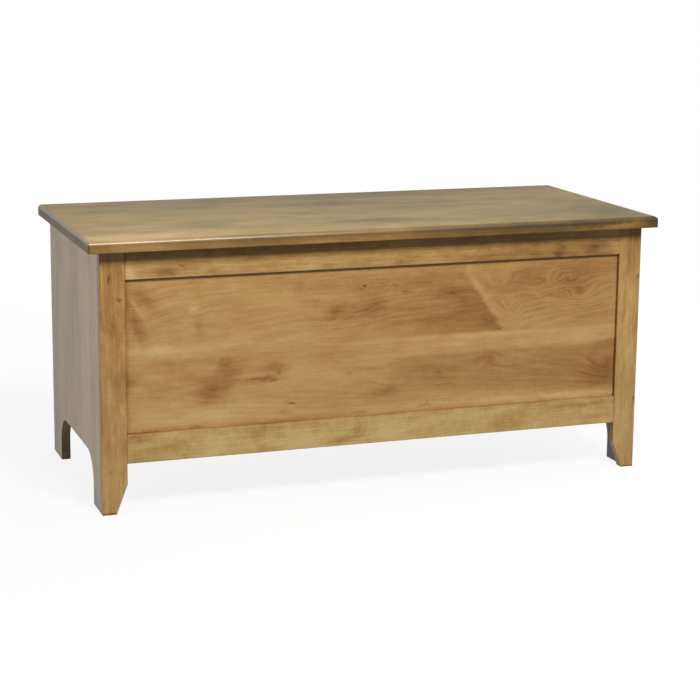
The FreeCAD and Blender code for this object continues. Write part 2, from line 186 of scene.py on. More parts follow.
# Tones run from 0, the palest sapwood, to 1, the heart of a knot. Lengths are millimetres.
woodBasics = {
    "grain": "x", "across": "z", "depth": "y",
    "seed": 1.0,
    "tone": 0.36,
    "pith": (40.0, 90.0),           # tree's centre from the board's middle: across, depth
    "tilt": 0.06,                   # how far the board leans off the tree's axis
    "ringGap": 5.2, "ringTone": 0.022, "ringUneven": 2.6,
    "drift": 11.0,                  # how far the grain wanders over its length
    "waverShare": 0.4,              # how far it wavers on a short length, as a share of that
    "contrast": 1.0,                # of all the grain together
    "broadTone": 0.36, "streakTone": 0.26, "fineTone": 0.32, "mottleTone": 0.36,
    "speckTone": 0.24, "blotchTone": 0.46, "fibreTone": 0.12, "fleckTone": 0.12,
    "bandTone": 0.0,                # long bands that run from end to end
    "curls": [], "curlWarp": 26.0, "curlTone": 0.09,
    "redness": 0.5,
    "endGrain": 0.25,               # how much darker the end grain is
    "endSoft": 0.8,
    "roughness": 0.42, "specular": 0.28, "streakSheen": 0.18, "fibreSheen": 0.10,
    "rims": [],                     # axis, how far out its edge lies, its width, its lowest z
    "rimCoat": 0.6, "rimRoughness": 0.26,
    "rimWear": (400.0, -400.0, 0.1, 1.0),   # from x, to x, and what is left of the coat there
    "palette": "frame",
    "marks": [],
    "figure": [],                   # places where the grain swells round a knot
    "seamsAndShade": [],                    # dark joint lines and painted shade: axis, plane, how far it reaches, how much darker
    "innerSoft": (0.6, 1.0),        # how softly an inner face's finish starts: in, up
}
# The layers of noise in a board: the length of a feature along, across and into it, which a
# look may change, and then seed, detail and roughness.
woodLayers = {
    "drift": ((520, 150, 150), 0, 1.0, 0.5),
    "waver": ((130, 38, 38), 4, 1.0, 0.5),
    "warp": ((48, 22, 22), 7, 3.0, 0.55),
    "ringWidth": ((14, 1, 1), 9, 2.0, 0.5),
    "ringFade": ((260, 60, 60), 13, 1.0, 0.5),
    "ringPatch": ((38, 20, 20), 15, 2.0, 0.5),
    "broad": ((330, 62, 62), 17, 2.0, 0.5),
    "streak": ((190, 8, 8), 21, 2.0, 0.6),
    "band": ((900, 34, 34), 19, 1.0, 0.5),
    "fine": ((60, 3.2, 3.2), 22, 3.0, 0.6),
    "mottle": ((34, 12, 12), 23, 3.0, 0.6),
    "speck": ((6, 2.4, 2.4), 24, 2.0, 0.6),
    "blotch": ((70, 34, 34), 27, 3.0, 0.55),
    "fibre": ((34, 0.7, 0.7), 31, 2.0, 0.6),
    "fleck": ((9, 1.5, 1.5), 35, 1.0, 0.5),
    "hue": ((150, 42, 42), 41, 2.0, 0.5),
}
# The noise, about nought, at which a layer starts and is full, and then its strengths there.
woodSteps = {"ringFade": (-0.16, 0.14, 0.25, 1.0), "ringPatch": (-0.10, 0.10),
             "fleck": (0.2, 0.29), "red": (0.0, 0.28), "yellow": (0.0, -0.28)}
markWobble = {"scale": 0.055, "detail": 2.0, "reach": 16.0,     # how a mark's outline wanders
              "figureShare": 0.3}
woodBump = {"strength": 0.12, "depth": 0.0004, "fibre": 0.6, "streak": 2.0, "fleck": 0.5}
palettes = {
    "frame": [(0.0, tint(202, 174, 115)), (0.35, tint(177, 141, 84)),
              (0.65, tint(145, 106, 55)), (1.0, tint(82, 54, 22))],
    "panel": [(0.0, tint(204, 173, 115)), (0.35, tint(180, 142, 86)),
              (0.65, tint(148, 105, 53)), (1.0, tint(82, 52, 22))],
    "lid": [(0.0, tint(174, 145, 98)), (0.35, tint(136, 111, 61)),
            (0.65, tint(100, 84, 40)), (1.0, tint(54, 45, 18))],
    "end": [(0.0, tint(194, 160, 106)), (0.35, tint(169, 135, 80)),
            (0.65, tint(130, 105, 52)), (1.0, tint(74, 54, 24))],
    "inside": [(0.0, tint(222, 200, 158)), (0.35, tint(206, 178, 132)),
               (0.65, tint(182, 148, 102)), (1.0, tint(120, 88, 55))],
}
redStain = tint(247, 196, 158)
yellowStain = tint(228, 226, 150)


def woodMaterial(node, look):
    values = {**woodBasics, **look}
    low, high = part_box(node)
    material, graph = newMaterial(node + "Wood")

    def layer(name, over):
        size, seed, detail, rough = woodLayers[name]
        return graph.noise(over, values.get(name + "Size", size), values["seed"] + seed,
                           detail, rough)

    place = graph.place()
    parts = {axis: graph.part(place, axis) for axis in "xyz"}
    middle = {axis: (low[i] + high[i]) / 2 * metre for i, axis in enumerate("xyz")}
    half = {axis: (high[i] - low[i]) / 2 * metre for i, axis in enumerate("xyz")}
    along, across, depth = (parts[values[k]] - middle[values[k]]
                            for k in ("grain", "across", "depth"))
    board = graph.vector(along, across, depth)

    # where the grain runs: a slow wander, a short waver, and the swirls round knots
    swirls = 0.0
    for swirl in values["figure"]:
        swirls = swirls + graph.spot(place, swirl["at"], swirl["size"],
                                     swirl["turn"]) * swirl["lift"]
    curl = 0.0
    for spot in values["curls"]:
        curl = curl + graph.spot(place, spot["at"], spot["size"], spot["turn"])
    moved = (across + layer("drift", board) * (2 * values["drift"])
             + layer("waver", board) * (values["waverShare"] * values["drift"]) + swirls)
    if values["curls"]:
        curl = graph.maths("MINIMUM", curl, 1.0)
        moved = moved + curl * layer("warp", board) * values["curlWarp"]
    grain = graph.vector(along, moved, depth)

    # growth rings round the pith, uneven in width
    pithAcross, pithDepth = values["pith"]
    fromPith = ((moved - pithAcross) ** 2.0
                + (depth - pithDepth + along * values["tilt"]) ** 2.0) ** 0.5
    uneven = layer("ringWidth", graph.vector(fromPith, 0.0, 0.0)) * values["ringUneven"]
    wave = graph.maths("SINE", (fromPith / values["ringGap"] + uneven) * (2 * math.pi))
    fade = graph.smooth(layer("ringFade", board), *woodSteps["ringFade"])
    patchy = graph.smooth(layer("ringPatch", board), *woodSteps["ringPatch"])
    lines = graph.smooth(wave, 0.0, 1.0)
    rings = wave * fade * values["ringTone"] + lines * curl * patchy * values["curlTone"]

    streaks = layer("streak", grain) * values["streakTone"]
    fibres = layer("fibre", grain)
    flecks = graph.smooth(layer("fleck", grain), *woodSteps["fleck"])
    tone = rings + streaks + fibres * values["fibreTone"] + flecks * values["fleckTone"]
    for name in ("broad", "band", "fine", "mottle", "speck", "blotch"):
        tone = tone + layer(name, grain) * values[name + "Tone"]
    tone = tone * values["contrast"] + values["tone"]

    # named marks: knots, smudges, pale and dark places
    colourNoise = graph.node("ShaderNodeTexNoise", None, {
        "Vector": place, "Scale": markWobble["scale"], "Detail": markWobble["detail"]},
        output="Color")
    wobble = graph.node("ShaderNodeVectorMath", {"operation": "SUBTRACT"},
                        {0: colourNoise, 1: (0.5, 0.5, 0.5)})
    rough = graph.node("ShaderNodeVectorMath", {"operation": "MULTIPLY_ADD"}, {
        0: wobble, 1: (markWobble["reach"],) * 3, 2: place})
    for mark in values["marks"]:
        tone = tone + graph.spot(rough, mark["at"], mark["size"],
                                 mark.get("turn", (0, 0, 0))) * mark["tone"]
    for axis, plane, wide, more in values["seamsAndShade"]:      # dark joint lines, and painted shade where a face sits back or lies under an overhang
        tone = tone + graph.smooth(graph.maths("ABSOLUTE", parts[axis] - plane), wide, 0.0) * more
    if "shade" in values:
        crisp = graph.node("ShaderNodeMix", {"data_type": "VECTOR"},
                           {0: markWobble["figureShare"], 4: place, 5: rough}, output=1)
        tone = tone + values["shade"](graph, crisp)

    # cut ends drink more stain
    endLine = half[values["grain"]] - values["endSoft"]
    ends = graph.smooth(graph.maths("ABSOLUTE", along), endLine, endLine + values["endSoft"])
    tone = tone + ends * values["endGrain"]

    colour = graph.ramp(tone, palettes[values["palette"]])
    if "inner" in values:                                # an inner face with its own finish
        axis, plane, way, lowest, palette = values["inner"]
        softIn, softUp = values["innerSoft"]
        inner = (graph.smooth((parts[axis] - plane) * way, -softIn, 0.0)
                 * graph.smooth(parts["z"], lowest - softUp, lowest))
        colour = graph.mix(inner, colour, graph.ramp(tone, palettes[palette]))
    if "edgeStain" in values:                            # one edge took a warmer stain
        stain = values["edgeStain"]
        tinted = graph.mix(graph.smooth(parts["x"], *stain["across"]),
                           stain["left"], stain["right"])
        colour = graph.mix(graph.smooth(parts[stain["axis"]], *stain["depth"]), colour,
                           tinted, "MULTIPLY")
    hue = layer("hue", board)
    for name, stain in (("red", redStain), ("yellow", yellowStain)):
        amount = graph.smooth(hue, *woodSteps[name]) * values["redness"]
        colour = graph.mix(amount, colour, stain, "MULTIPLY")

    sheen = (streaks * values["streakSheen"] + fibres * values["fibreSheen"]
             + values["roughness"])
    inputs = {"Base Color": colour, "Roughness": sheen, "IOR": 1.5,
              "Specular IOR Level": values["specular"]}
    if values["rims"]:                                   # varnish stands thicker on a round edge
        worn = 0.0
        for axis, out, wide, lowest in values["rims"]:
            near = (graph.smooth(graph.maths("ABSOLUTE", parts[axis]), out - wide, out)
                    * graph.smooth(parts["z"], lowest, lowest + wide / 2))
            worn = graph.maths("MAXIMUM", worn, near)
        inputs["Coat Weight"] = (worn * values["rimCoat"]
                                 * graph.smooth(parts["x"], *values["rimWear"]))
        inputs["Coat Roughness"] = values["rimRoughness"]
    height = (fibres * woodBump["fibre"] + streaks * woodBump["streak"]
              - flecks * woodBump["fleck"])
    finishMaterial(graph, inputs, height, woodBump)
    return material


# The front panel's own figure: a dark heart that ends on a slant, a pale band right across,
# and a second dark stretch below it. A pair is where an edge starts and is full, and two more
# values are the strengths there.
frontFigure = {
    "slantX": 276.0, "slantZ": 319.0, "slant": -0.72, "slantTop": 183.0,
    "ragged": 14.0, "raggedSize": (46, 60, 9), "raggedSeed": 5.0,
    "heartTone": 0.28, "heartEdge": (4, -12), "heartFoot": 7, "heartAcross": (-90, 260),
    "heartTop": (455, 405, 0.25, 1.0),
    "fringeTone": -0.09, "fringeStart": (-4, 4), "fringeEnd": (24, 4), "fringeFoot": (335, 370),
    "bandTone": -0.06, "bandTop": 317.0, "bandLow": 279.0,
    "bandRise": (460, 535, 0.0, 9.0), "bandDrop": (90, -40, 0.0, 21.0),
    "bandAcross": (-190, 90), "bandLowEdge": (-3, 9), "bandTopEdge": (3, -2),
    "bandEdgeTone": -0.07, "bandEdgeBelow": 4, "bandEdgeHigh": 6,
    "lowerTone": 0.19, "lowerBottom": 208.0, "lowerFall": -0.055,
    "lowerTopEdge": (-3, 6), "lowerBottomEdge": (-14, 14),
    "lowerMiddle": (-40, 90, 0.0, 0.75), "lowerRight": (330, 480, 0.0, 0.35),
}


def frontPanelShade(graph, place):
    values = frontFigure
    x, z = graph.part(place, "x"), graph.part(place, "z")
    ragged = graph.noise(place, values["raggedSize"], values["raggedSeed"], 3.0, 0.6)
    slant = (z - values["slantZ"]) * values["slant"] + values["slantX"]
    fromSlant = x - (graph.maths("MAXIMUM", slant, values["slantTop"]) + ragged * values["ragged"])
    bandTop = values["bandTop"]
    heart = (graph.smooth(fromSlant, *values["heartEdge"])
             * graph.smooth(z, bandTop, bandTop + values["heartFoot"])
             * graph.smooth(x, *values["heartAcross"]) * graph.smooth(z, *values["heartTop"]))
    fringe = (graph.smooth(fromSlant, *values["fringeStart"])
              * graph.smooth(fromSlant, *values["fringeEnd"])
              * graph.smooth(z, *values["fringeFoot"]))
    lowLine = (graph.smooth(x, *values["bandRise"]) - graph.smooth(x, *values["bandDrop"])
               + values["bandLow"])
    reach = graph.smooth(x, *values["bandAcross"])
    topStart, topEnd = values["bandTopEdge"]
    band = (graph.smooth(z - lowLine, *values["bandLowEdge"])
            * graph.smooth(z, bandTop + topStart, bandTop + topEnd) * reach)
    fromEdge = graph.maths("ABSOLUTE", z - (bandTop - values["bandEdgeBelow"]))
    edge = graph.smooth(fromEdge, values["bandEdgeHigh"], 0) * reach
    bottomLine = x * values["lowerFall"] + values["lowerBottom"]
    lower = (graph.smooth(lowLine - z, *values["lowerTopEdge"])
             * graph.smooth(z - bottomLine, *values["lowerBottomEdge"])
             * (graph.smooth(x, *values["lowerMiddle"]) + graph.smooth(x, *values["lowerRight"])))
    return (heart * values["heartTone"] + fringe * values["fringeTone"]
            + band * values["bandTone"] + edge * values["bandEdgeTone"]
            + lower * values["lowerTone"])


# The faces that carry marks, and how deep a mark reaches into each.
frontFace = {"y": -240.0, "reach": 60.0}
lidTop = {"z": 551.0, "reach": 12.0}
lidFront = {"y": -270.5, "reach": 9.0}
leftEnd = {"x": -584.0, "reach": 30.0}
panelSide = 533.2                   # the front panel's visible edges and its inner face
panelFoot = 160.1
panelTop = 469.5
panelInside = -232.3
stileInside = -226.0
caseTop = 525.5
endInside = 565.0                   # an end slab's inner face and its middle
endMiddle = 574.0
railFoot = 102.0                    # below it the inner faces are the legs' own


def onFront(x, z, wide, high, tone, turn=0.0):
    return {"at": (x, frontFace["y"], z), "size": (wide, frontFace["reach"], high),
            "turn": (0, turn, 0), "tone": tone}


def frontSwirl(x, z, wide, high, lift=0.0):
    return {"at": (x, frontFace["y"], z), "size": (wide, frontFace["reach"], high),
            "turn": (0, 0, 0), "lift": lift}


def onLid(x, y, wide, high, tone):
    return {"at": (x, y, lidTop["z"]), "size": (wide, high, lidTop["reach"]), "tone": tone}


def onLidEdge(x, z, wide, high, tone, turn=0.0):
    return {"at": (x, lidFront["y"], z), "size": (wide, lidFront["reach"], high),
            "turn": (0, turn, 0), "tone": tone}


frontPanelMarks = [
    onFront(-494, 426, 34, 15, 0.28, 38),         # two flames from the upper left corner
    onFront(-513, 384, 50, 12, 0.28, 68),
    onFront(-512, 416, 30, 4, -0.14, 58),
    onFront(-396, 402, 10, 8, -0.22),
    onFront(-385, 368, 10, 19, 0.16, -12),
    onFront(-480, 322, 80, 10, -0.26),           # pale band at the left
    onFront(-300, 327, 170, 12, -0.12),
    onFront(-400, 296, 90, 5, 0.12),
    onFront(-529, 262, 16, 16, 0.16),
    onFront(-333, 293, 12, 12, 0.24),            # loop knot and its tail
    onFront(-333, 294, 5, 5, -0.20),
    onFront(-326, 272, 22, 16, 0.16),
    onFront(-364, 230, 24, 22, 0.20),
    onFront(-330, 252, 36, 22, 0.13, -12),
    onFront(-350, 244, 50, 36, 0.09),
    onFront(-246, 253, 18, 6, 0.40),             # knot
    onFront(-236, 247, 13, 3, 0.26, -20),
    onFront(-270, 254, 9, 2, 0.30),
    onFront(-219, 262, 5, 6, 0.26),
    onFront(-231, 273, 30, 11, 0.28),
    onFront(-290, 252, 26, 5, 0.18),
    onFront(-425, 248, 50, 1.2, 0.14, -6),
    onFront(-388, 167, 8, 3, 0.20),
    onFront(-193, 197, 8, 3, 0.44, 30),
    onFront(-209, 182, 12, 4, 0.12),
    onFront(-38, 431, 3, 2.6, 0.46),             # pin knots along the top
    onFront(-46, 426, 7, 1.8, 0.20, 30),
    onFront(0, 433, 9, 1.6, 0.20, 20),
    onFront(28, 430, 5, 1.8, 0.20),
    onFront(50, 414, 5, 3, 0.20),
    onFront(143, 409, 34, 9, 0.15),
    onFront(150, 405, 14, 2, 0.12),
    onFront(-70, 385, 110, 42, 0.12),            # upper heart
    onFront(-50, 380, 64, 16, 0.10),
    onFront(-100, 380, 20, 13, 0.14),
    onFront(-14, 385, 22, 17, 0.12),
    onFront(-85, 366, 80, 4, 0.10),
    onFront(90, 352, 110, 9, 0.12),
    onFront(250, 340, 26, 18, 0.14),
    onFront(-71, 251, 7, 4, 0.20),
    onFront(-25, 257, 26, 2.5, 0.16),
    onFront(128, 241, 8, 2, 0.24, 25),
    onFront(98, 246, 62, 10, 0.12),
    onFront(2, 205, 40, 12, 0.20),               # lower heart
    onFront(25, 213, 20, 14, 0.12),
    onFront(-50, 168, 22, 5, 0.20),
    onFront(99, 171, 20, 3, 0.24),
    onFront(104, 176, 2, 4, 0.30),
    onFront(437, 416, 26, 12, 0.06),
    onFront(275, 408, 56, 36, 0.12),
    onFront(236, 264, 16, 17, 0.12),
    onFront(250, 170, 340, 9, -0.20),
    onFront(-500, 160, 50, 4, 0.34),             # darker in places along the lower edge
    onFront(-393, 163, 22, 5, 0.22),
    onFront(-240, 162, 90, 4, 0.14),
    onFront(508, 205, 46, 26, 0.18),
    onFront(512, 238, 30, 22, 0.10),
    onFront(440, 168, 110, 6, -0.12),
    onFront(-380, 185, 150, 26, -0.26),
    onFront(420, 430, 150, 46, 0.26),
    onFront(470, 350, 90, 30, 0.06),
    onFront(-20, 440, 260, 24, 0.16),
    onFront(-180, 400, 90, 40, -0.06),
]
frontPanelSwirls = [                # where the grain bulges, and by how much
    frontSwirl(508, 222, 40, 24, 24),
    frontSwirl(233, 262, 18, 11, -18),
    frontSwirl(284, 367, 24, 19, 30),
    frontSwirl(258, 417, 38, 20, 30),
    frontSwirl(348, 415, 44, 18, 30),
    frontSwirl(451, 383, 42, 20, 26),
    frontSwirl(437, 418, 30, 12, 8),
    frontSwirl(25, 215, 54, 22, 12),
    frontSwirl(-510, 400, 46, 60, 14),
    frontSwirl(-396, 400, 20, 18, 8),
    frontSwirl(-331, 293, 12, 12, 6),
    frontSwirl(-350, 238, 46, 24, 7),
    frontSwirl(-243, 252, 26, 12, 6),
    frontSwirl(-60, 380, 60, 22, 12),
]
frontPanelCurls = [                 # where it is curly
    frontSwirl(370, 395, 150, 56),
    frontSwirl(300, 362, 44, 40),
    frontSwirl(500, 225, 70, 40),
    frontSwirl(260, 245, 60, 26),
    frontSwirl(-40, 385, 90, 30),
]


def onEnd(y, z, wide, high, tone):
    return {"at": (leftEnd["x"], y, z), "size": (leftEnd["reach"], wide, high), "tone": tone}


endMarks = [
    onEnd(164, 466, 10, 70, 0.24),
    onEnd(-8, 426, 28, 60, 0.28),
    onEnd(14, 491, 28, 18, 0.20),
    onEnd(-131, 491, 36, 16, 0.20),
    onEnd(89, 246, 9, 80, 0.24),
    onEnd(-166, 236, 28, 18, 0.14),
    onEnd(-21, 321, 42, 12, 0.12),
    onEnd(240, 300, 14, 320, 0.16),
    onEnd(-146, 416, 70, 60, -0.14),
    onEnd(64, 456, 46, 50, -0.14),
    onEnd(-86, 290, 34, 100, -0.10),
    # painted shade: darker at the foot of each leg, near the floor
    onEnd(-180, 0, 34, 34, 0.60),
    onEnd(250, 0, 30, 22, 0.40),
]


def paintedLegShade(way):
    # painted shade on the inner faces and sawn edges of the legs, under the case, where little
    # light reaches
    inner = [{"at": (way * endInside, y, 30), "size": (5, 90, 60), "tone": 0.9}
             for y in (-200, 230)]
    sawn = [{"at": (way * endMiddle, y, 20), "size": (24, 4, 70), "tone": 0.6}
            for y in (-170, 178)]
    return inner + sawn


lidMarks = [
    onLid(-312, 118, 64, 28, 0.24),
    onLid(-480, 110, 60, 36, 0.10),
    onLid(-10, 92, 84, 34, 0.28),
    onLid(200, 66, 120, 20, 0.16),
    onLid(-338, -128, 62, 34, 0.28),
    onLid(30, -158, 86, 26, 0.30),
    onLid(330, -170, 90, 24, 0.14),
    onLid(530, -172, 46, 34, 0.14),
    onLid(165, 215, 200, 34, 0.08),
    onLid(90, -95, 90, 36, -0.12),
    onLid(430, -40, 150, 36, -0.12),
    onLid(-500, -240, 170, 70, -0.38),           # painted sheen: paler towards the front left corner
    onLid(-150, -250, 300, 40, -0.10),
    # painted light falloff over the lid top: darker towards the back, the middle and the right
    onLid(0, 250, 900, 130, 0.22),
    onLid(480, -60, 300, 300, 0.16),
    onLid(40, 20, 420, 220, 0.16),
    onLid(570, -190, 130, 160, 0.26),
    onLidEdge(-250, 530, 420, 6, -0.10),         # the front edge
    onLidEdge(-526, 538, 34, 12, -0.12),
    onLidEdge(-300, 540, 120, 20, 0.12),
    onLidEdge(330, 535, 190, 20, 0.44),
    onLidEdge(470, 530, 60, 4, -0.24, -6),
    onLidEdge(540, 536, 50, 7, -0.24, -8),
    onLidEdge(600, 538, 22, 22, 0.34),
]

bare = {"palette": "inside", "roughness": 0.6}           # no stain and no varnish
looks = {
    "front_panel": {"palette": "panel", "seed": 3.0, "tone": 0.35, "pith": (-20.0, 150.0),
                    "ringGap": 6.6, "ringTone": 0.03, "broadTone": 0.20, "streakTone": 0.14,
                    "fineTone": 0.26, "mottleTone": 0.22, "speckTone": 0.20,
                    "blotchTone": 0.26, "fleckTone": 0.03, "redness": 0.22,
                    "marks": frontPanelMarks, "figure": frontPanelSwirls,
                    "curls": frontPanelCurls,
                    # painted shade: darker where the recessed panel meets the stiles and rails,
                    # and under the top rail
                    "seamsAndShade": [("x", -panelSide, 12.0, 0.22), ("x", -panelSide, 2.4, 0.30),
                              ("x", panelSide, 3.0, 0.50), ("z", panelFoot, 16.0, 0.10),
                              ("z", panelFoot, 2.6, 0.16), ("z", panelTop, 5.0, 0.10)],
                    "shade": frontPanelShade, "inner": ("y", panelInside, 1, 0.0, "inside")},
    "front_top_rail": {"seed": 5.0, "tone": 0.35, "contrast": 1.25,
                       # painted shadow under the lid along the top of the rail; the x entries are
                       # dark joint lines
                       "seamsAndShade": [("z", caseTop, 40.0, 0.28), ("x", -panelSide, 2.5, 0.3),
                                 ("x", panelSide, 2.5, 0.1)], "broadTone": 0.42,
                       "redness": 0.45, "pith": (70.0, 60.0),
                       "marks": [onFront(-526, 486, 14, 20, -0.28),
                                 onFront(-453, 483, 34, 9, 0.24),
                                 onFront(-420, 488, 10, 2, 0.25, 50),
                                 onFront(394, 482, 14, 18, 0.26),
                                 onFront(476, 488, 30, 12, 0.26),
                                 onFront(330, 480, 170, 26, 0.26),
                                 # painted light: thins the painted shadow under the lid at the
                                 # right end
                                 onFront(500, 520, 90, 16, -0.34),
                                 onFront(-300, 486, 150, 20, 0.15)]},
    "front_bottom_rail": {"seed": 7.0, "tone": 0.20, "contrast": 1.2,
                          # the x entries are dark joint lines; the line along the top edge is
                          # painted shade where the panel sits back
                          "seamsAndShade": [("x", -panelSide, 2.5, 0.3), ("x", panelSide, 2.5, 0.3),
                                    ("z", panelFoot, 1.6, 0.40)],
                          "broadTone": 0.34, "blotchTone": 0.36, "mottleSize": (15, 24, 24),
                          "redness": 0.45, "pith": (-60.0, 75.0),
                          "marks": [onFront(-516, 152, 24, 9, 0.36),
                                    onFront(-460, 126, 80, 9, 0.20, -12),
                                    onFront(-264, 142, 24, 14, 0.20),
                                    onFront(-250, 112, 16, 10, 0.18),
                                    onFront(-92, 112, 18, 8, 0.28),
                                    onFront(-50, 132, 12, 22, 0.24),
                                    onFront(62, 146, 20, 5, 0.20),
                                    onFront(290, 126, 44, 15, 0.20),
                                    onFront(440, 147, 100, 8, 0.24),
                                    onFront(-350, 128, 56, 18, -0.22),
                                    onFront(-180, 125, 56, 22, -0.24),
                                    onFront(10, 124, 30, 20, -0.10)]},
    "front_stile_left": {"palette": "panel", "grain": "z", "across": "x", "seed": 9.0,
                         "tone": 0.46, "contrast": 1.2,
                         # painted shade beside the recessed panel and on the back face inside the
                         # case; the others are the joint with the end and the dark end grain of
                         # the foot
                         "seamsAndShade": [("x", -panelSide, 3.0, 0.24), ("x", leftEnd["x"], 3.0, 0.12),
                                   ("z", 0.0, 7.0, 0.5), ("y", stileInside, 4.0, 0.9)],
                         "broadTone": 0.26, "redness": 0.12, "pith": (55.0, 45.0),
                         "marks": [onFront(-566, 473, 3, 8, 0.40), onFront(-547, 432, 5, 3, 0.40),
                                   # painted shadow under the lid at the top of the stile
                                   onFront(-560, 500, 40, 40, 0.10),
                                   onFront(-560, 60, 60, 110, -0.15),
                                   onFront(-556, 290, 40, 90, 0.08)]},
    "front_stile_right": {"grain": "z", "across": "x", "seed": 12.0, "tone": 0.35,
                          "contrast": 1.2,
                          # painted shade on the stile's face beside the panel and on its back face
                          # inside the case; the z entry is the dark end grain of the foot
                          "seamsAndShade": [("x", panelSide, 1.2, 0.45), ("z", 0.0, 5.0, 0.5),
                                    ("y", stileInside, 4.0, 0.9)],
                          "blotchTone": 0.5, "redness": 0.35,
                          "pith": (-70.0, 60.0),
                          "marks": [onFront(579, 421, 3, 9, 0.50), onFront(581, 152, 2, 6, 0.45),
                                    # painted shadow under the lid at the top of the stile
                                    onFront(560, 500, 60, 40, 0.16),
                                    onFront(560, 60, 60, 110, -0.10)]},
    "back_panel": {"seed": 15.0, "tone": 0.38, "pith": (30.0, -70.0),
                   "ringGap": 6.5, "ringTone": 0.06, "tilt": 0.09, "broadTone": 0.30},
    "back_top_rail": {"seed": 17.0},
    "back_bottom_rail": {"seed": 19.0},
    "back_stile_left": {"grain": "z", "across": "x", "seed": 23.0},
    "back_stile_right": {"grain": "z", "across": "x", "seed": 25.0},
    "bottom_panel": {**bare, "across": "y", "depth": "z", "seed": 27.0, "pith": (0.0, 240.0)},
    "bottom_cleat_front": {**bare, "seed": 29.0},
    "bottom_cleat_back": {**bare, "seed": 31.0},
    "bottom_cleat_left": {**bare, "grain": "y", "depth": "x", "seed": 33.0},
    "bottom_cleat_right": {**bare, "grain": "y", "depth": "x", "seed": 35.0},
    "lid_batten_left": {"grain": "y", "across": "x", "depth": "z", "seed": 37.0, "tone": 0.42},
    "lid_batten_right": {"grain": "y", "across": "x", "depth": "z", "seed": 39.0, "tone": 0.42},
    "corner_biscuits": {"palette": "inside", "grain": "z", "across": "y", "depth": "x",
                        "seed": 41.0, "roughness": 0.8},
}
lidBoards = {"tones": [0.36, 0.34, 0.38, 0.35, 0.40], "pithSides": [1, -1, 1, -1, 1],
             "tilts": [0.05, -0.05, 0.05, -0.05, 0.05], "pith": (14.0, 120.0)}
lidLook = {
    "palette": "lid", "across": "y", "depth": "z", "drift": 9.0, "ringTone": 0.025,
    "broadTone": 0.3, "streakTone": 0.12, "fineTone": 0.22, "mottleTone": 0.24,
    "speckTone": 0.14, "blotchTone": 0.55, "blotchSize": (110, 56, 56), "redness": 0.26,
    "endSoft": 6.0, "endGrain": 0.35, "roughness": 0.55, "specular": 0.36,
    # the z entry is painted shade along the lower part of the lid's rounded edges
    "marks": lidMarks, "seamsAndShade": [("z", 543.5, 7.5, 0.24)],
    "rims": [("y", 270.5, 9.5, 541.0), ("x", 609.5, 9.5, 541.0)],
    "inner": ("z", 527.6, -1, 0.0, "frame"),
    "edgeStain": {"axis": "y", "depth": (-264.0, -270.5), "across": (-500.0, 300.0),
                  "left": tint(255, 238, 232), "right": tint(255, 225, 214)},
}
endBoards = {"tones": [0.28, 0.24, 0.48, 0.46, 0.54], "pithSides": [-1, 1, -1, 1, -1],
             "tilts": [0.06] * 5, "pith": (18.0, 80.0)}
endLook = {
    "palette": "end", "grain": "z", "across": "y", "depth": "x", "contrast": 1.1,
    "broadTone": 0.30, "streakTone": 0.14, "fineTone": 0.16, "mottleTone": 0.26,
    "blotchTone": 0.56, "blotchSize": (120, 46, 46), "bandTone": 0.4, "redness": 0.26,
    "hueSize": (200, 60, 60), "roughness": 0.38, "specular": 0.45,
    "seamsAndShade": [("z", 0.0, 5.0, 0.5)],
}


def addBoards(name, boards, look, seed):
    # each glued board has its own tone and its own place in the tree
    pithAcross, pithDepth = boards["pith"]
    rows = zip(boards["tones"], boards["pithSides"], boards["tilts"])
    for i, (tone, side, tilt) in enumerate(rows, start=1):
        looks[f"{name}_board_{i}"] = {
            **look, "seed": seed + 2 * i, "tone": tone, "tilt": tilt,
            "pith": (pithAcross * side, pithDepth * side)}


def dressWood():
    addBoards("lid", lidBoards, lidLook, 50.0)
    for name, way, seed in (("left_end", -1, 70.0), ("right_end", 1, 90.0)):
        addBoards(name, endBoards, {
            **endLook, "marks": endMarks + paintedLegShade(way),
            "inner": ("x", way * endInside, -way, railFoot, "inside")}, seed)
    for node, look in looks.items():
        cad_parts[node].material_slots[0].material = woodMaterial(node, look)
    print("wood finished:", len(looks), "pieces")


metals = {
    "brass": {"bright": tint(196, 172, 122), "dull": tint(128, 108, 72), "roughness": 0.30,
              "worn": 0.6, "seed": 2.0},
    "steel": {"bright": tint(190, 190, 187), "dull": tint(132, 132, 130), "roughness": 0.34,
              "worn": 0.5, "seed": 6.0},
}
metalAge = {"size": (9, 9, 9), "step": (-0.12, 0.2), "roughness": 0.16}
metalBrush = {"size": (12, 0.25, 0.6), "roughness": 0.2, "strength": 0.15, "depth": 0.00005}


def metalMaterial(name):
    values = metals[name]
    material, graph = newMaterial(name + "Satin")
    place = graph.place()
    seed = values["seed"]
    age = graph.smooth(graph.noise(place, metalAge["size"], seed, 4.0, 0.6), *metalAge["step"])
    brushed = graph.noise(place, metalBrush["size"], seed + 3, 2.0, 0.6)
    colour = graph.mix(age * values["worn"], values["bright"], values["dull"])
    roughness = (age * metalAge["roughness"] + brushed * metalBrush["roughness"]
                 + values["roughness"])
    finishMaterial(graph, {"Base Color": colour, "Roughness": roughness, "Metallic": 1.0},
                   brushed, metalBrush)
    return material


rubber = {"pale": tint(196, 192, 180), "dusty": tint(168, 162, 148), "roughness": 0.55,
          "dustSize": (2.5, 2.5, 2.5), "dustStep": (-0.1, 0.2), "dustRoughness": 0.2,
          "strength": 0.1, "depth": 0.0001}


def rubberMaterial():
    material, graph = newMaterial("bumperRubber")
    dust = graph.smooth(graph.noise(graph.place(), rubber["dustSize"], 3.0, 3.0),
                        *rubber["dustStep"])
    roughness = dust * rubber["dustRoughness"] + rubber["roughness"]
    finishMaterial(graph, {"Base Color": graph.mix(dust, rubber["pale"], rubber["dusty"]),
                           "Roughness": roughness}, dust, rubber)
    return material


